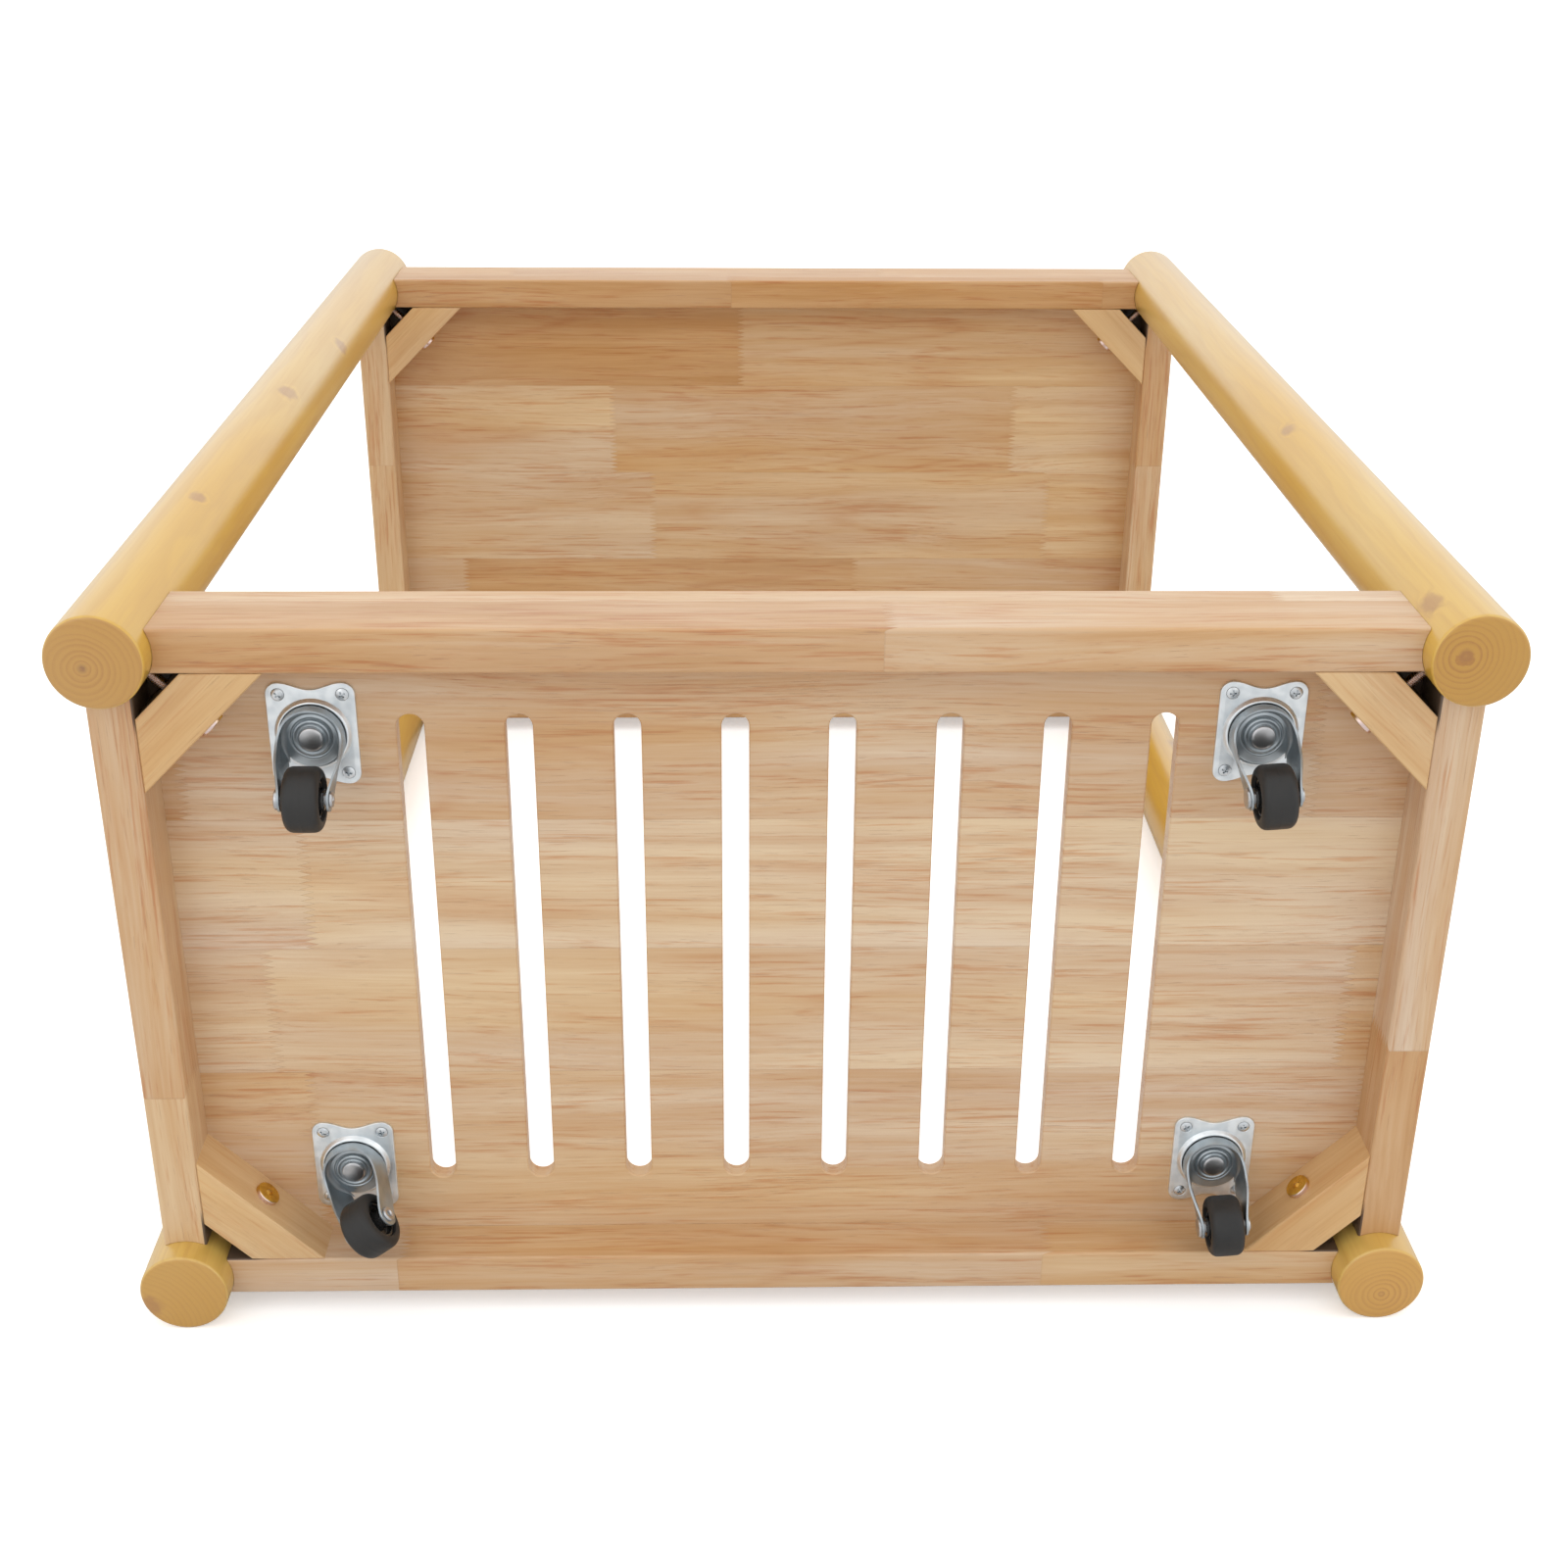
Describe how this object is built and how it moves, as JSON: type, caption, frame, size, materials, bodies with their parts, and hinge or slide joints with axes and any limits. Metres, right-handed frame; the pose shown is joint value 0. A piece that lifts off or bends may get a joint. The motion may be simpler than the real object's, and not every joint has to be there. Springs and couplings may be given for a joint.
{
  "type": "playpen frame",
  "caption": "Open wooden frame lying on its side: round posts join a slotted panel on swivel casters at one end to a solid panel at the other.",
  "frame": {"origin": "on the floor under the middle of the frame as it lies on its side: the bottom centre of its box", "axes": "+X across the frame, along its long rails; +Y along the posts, from the caster end to the deck end; +Z up from the floor. To stand it on its casters, turn +Y up."},
  "size_m": [0.858, 1.085, 0.5078],
  "materials": {
    "post_pine": "clear lacquered pine",
    "rail_wood": "oiled finger-jointed hardwood",
    "panel_wood": "oiled edge-glued hardwood board",
    "brace_wood": "plain planed hardwood",
    "yellow_zinc": "yellow zinc plated steel",
    "bright_zinc": "bright zinc plated steel",
    "ball_steel": "polished steel",
    "core_plastic": "black moulded plastic",
    "tyre_rubber": "dark grey rubber"
  },
  "bodies": {
    "frame": {"post_upper_left": "post_pine", "post_upper_right": "post_pine", "post_lower_left": "post_pine", "post_lower_right": "post_pine", "base_long_rail_upper": "rail_wood", "base_long_rail_lower": "rail_wood", "base_short_rail_left": "rail_wood", "base_short_rail_right": "rail_wood", "base_brace_upper_left": "brace_wood", "base_brace_upper_right": "brace_wood", "base_brace_lower_left": "brace_wood", "base_brace_lower_right": "brace_wood", "deck_long_rail_upper": "rail_wood", "deck_long_rail_lower": "rail_wood", "deck_short_rail_left": "rail_wood", "deck_short_rail_right": "rail_wood", "deck_brace_upper_left": "brace_wood", "deck_brace_upper_right": "brace_wood", "deck_brace_lower_left": "brace_wood", "deck_brace_lower_right": "brace_wood", "base_panel_slotted": "panel_wood", "deck_panel": "panel_wood", "corner_bolts": "yellow_zinc", "post_inserts": "yellow_zinc", "caster_screws": "bright_zinc", "race_balls": "ball_steel", "caster_plate_upper_left": "bright_zinc", "race_cup_upper_left": "bright_zinc", "kingpin_upper_left": "bright_zinc", "caster_plate_upper_right": "bright_zinc", "race_cup_upper_right": "bright_zinc", "kingpin_upper_right": "bright_zinc", "caster_plate_lower_left": "bright_zinc", "race_cup_lower_left": "bright_zinc", "kingpin_lower_left": "bright_zinc", "caster_plate_lower_right": "bright_zinc", "race_cup_lower_right": "bright_zinc", "kingpin_lower_right": "bright_zinc"},
    "swivel_upper_left": {"fork_upper_left": "bright_zinc", "wheel_axle_upper_left": "bright_zinc", "axle_sleeve_upper_left": "bright_zinc"},
    "wheel_upper_left": {"wheel_core_upper_left": "core_plastic", "tyre_upper_left": "tyre_rubber"},
    "swivel_upper_right": {"fork_upper_right": "bright_zinc", "wheel_axle_upper_right": "bright_zinc", "axle_sleeve_upper_right": "bright_zinc"},
    "wheel_upper_right": {"wheel_core_upper_right": "core_plastic", "tyre_upper_right": "tyre_rubber"},
    "swivel_lower_left": {"fork_lower_left": "bright_zinc", "wheel_axle_lower_left": "bright_zinc", "axle_sleeve_lower_left": "bright_zinc"},
    "wheel_lower_left": {"wheel_core_lower_left": "core_plastic", "tyre_lower_left": "tyre_rubber"},
    "swivel_lower_right": {"fork_lower_right": "bright_zinc", "wheel_axle_lower_right": "bright_zinc", "axle_sleeve_lower_right": "bright_zinc"},
    "wheel_lower_right": {"wheel_core_lower_right": "core_plastic", "tyre_lower_right": "tyre_rubber"}
  },
  "joints": [
    {"name": "swivel_turn_upper_left", "type": "hinge", "parent": "frame", "child": "swivel_upper_left", "pos_m": [-0.2895, -0.4795, 0.4125], "axis": [0, -1, 0], "continuous": true},
    {"name": "wheel_spin_upper_left", "type": "hinge", "parent": "swivel_upper_left", "child": "wheel_upper_left", "pos_m": [-0.2895, -0.5225, 0.388], "axis": [1, 0, 0], "continuous": true},
    {"name": "swivel_turn_upper_right", "type": "hinge", "parent": "frame", "child": "swivel_upper_right", "pos_m": [0.2895, -0.4795, 0.4125], "axis": [0, -1, 0], "continuous": true},
    {"name": "wheel_spin_upper_right", "type": "hinge", "parent": "swivel_upper_right", "child": "wheel_upper_right", "pos_m": [0.29142, -0.5225, 0.38808], "axis": [0.9969, 0, 0.0785], "continuous": true},
    {"name": "swivel_turn_lower_left", "type": "hinge", "parent": "frame", "child": "swivel_lower_left", "pos_m": [-0.2895, -0.4795, 0.0955], "axis": [0, -1, 0], "continuous": true},
    {"name": "wheel_spin_lower_left", "type": "hinge", "parent": "swivel_lower_left", "child": "wheel_lower_left", "pos_m": [-0.27476, -0.5225, 0.07593], "axis": [0.7986, 0, 0.6018], "continuous": true},
    {"name": "swivel_turn_lower_right", "type": "hinge", "parent": "frame", "child": "swivel_lower_right", "pos_m": [0.2895, -0.4795, 0.0955], "axis": [0, -1, 0], "continuous": true},
    {"name": "wheel_spin_lower_right", "type": "hinge", "parent": "swivel_lower_right", "child": "wheel_lower_right", "pos_m": [0.29142, -0.5225, 0.07108], "axis": [0.9969, 0, 0.0785], "continuous": true}
  ]
}
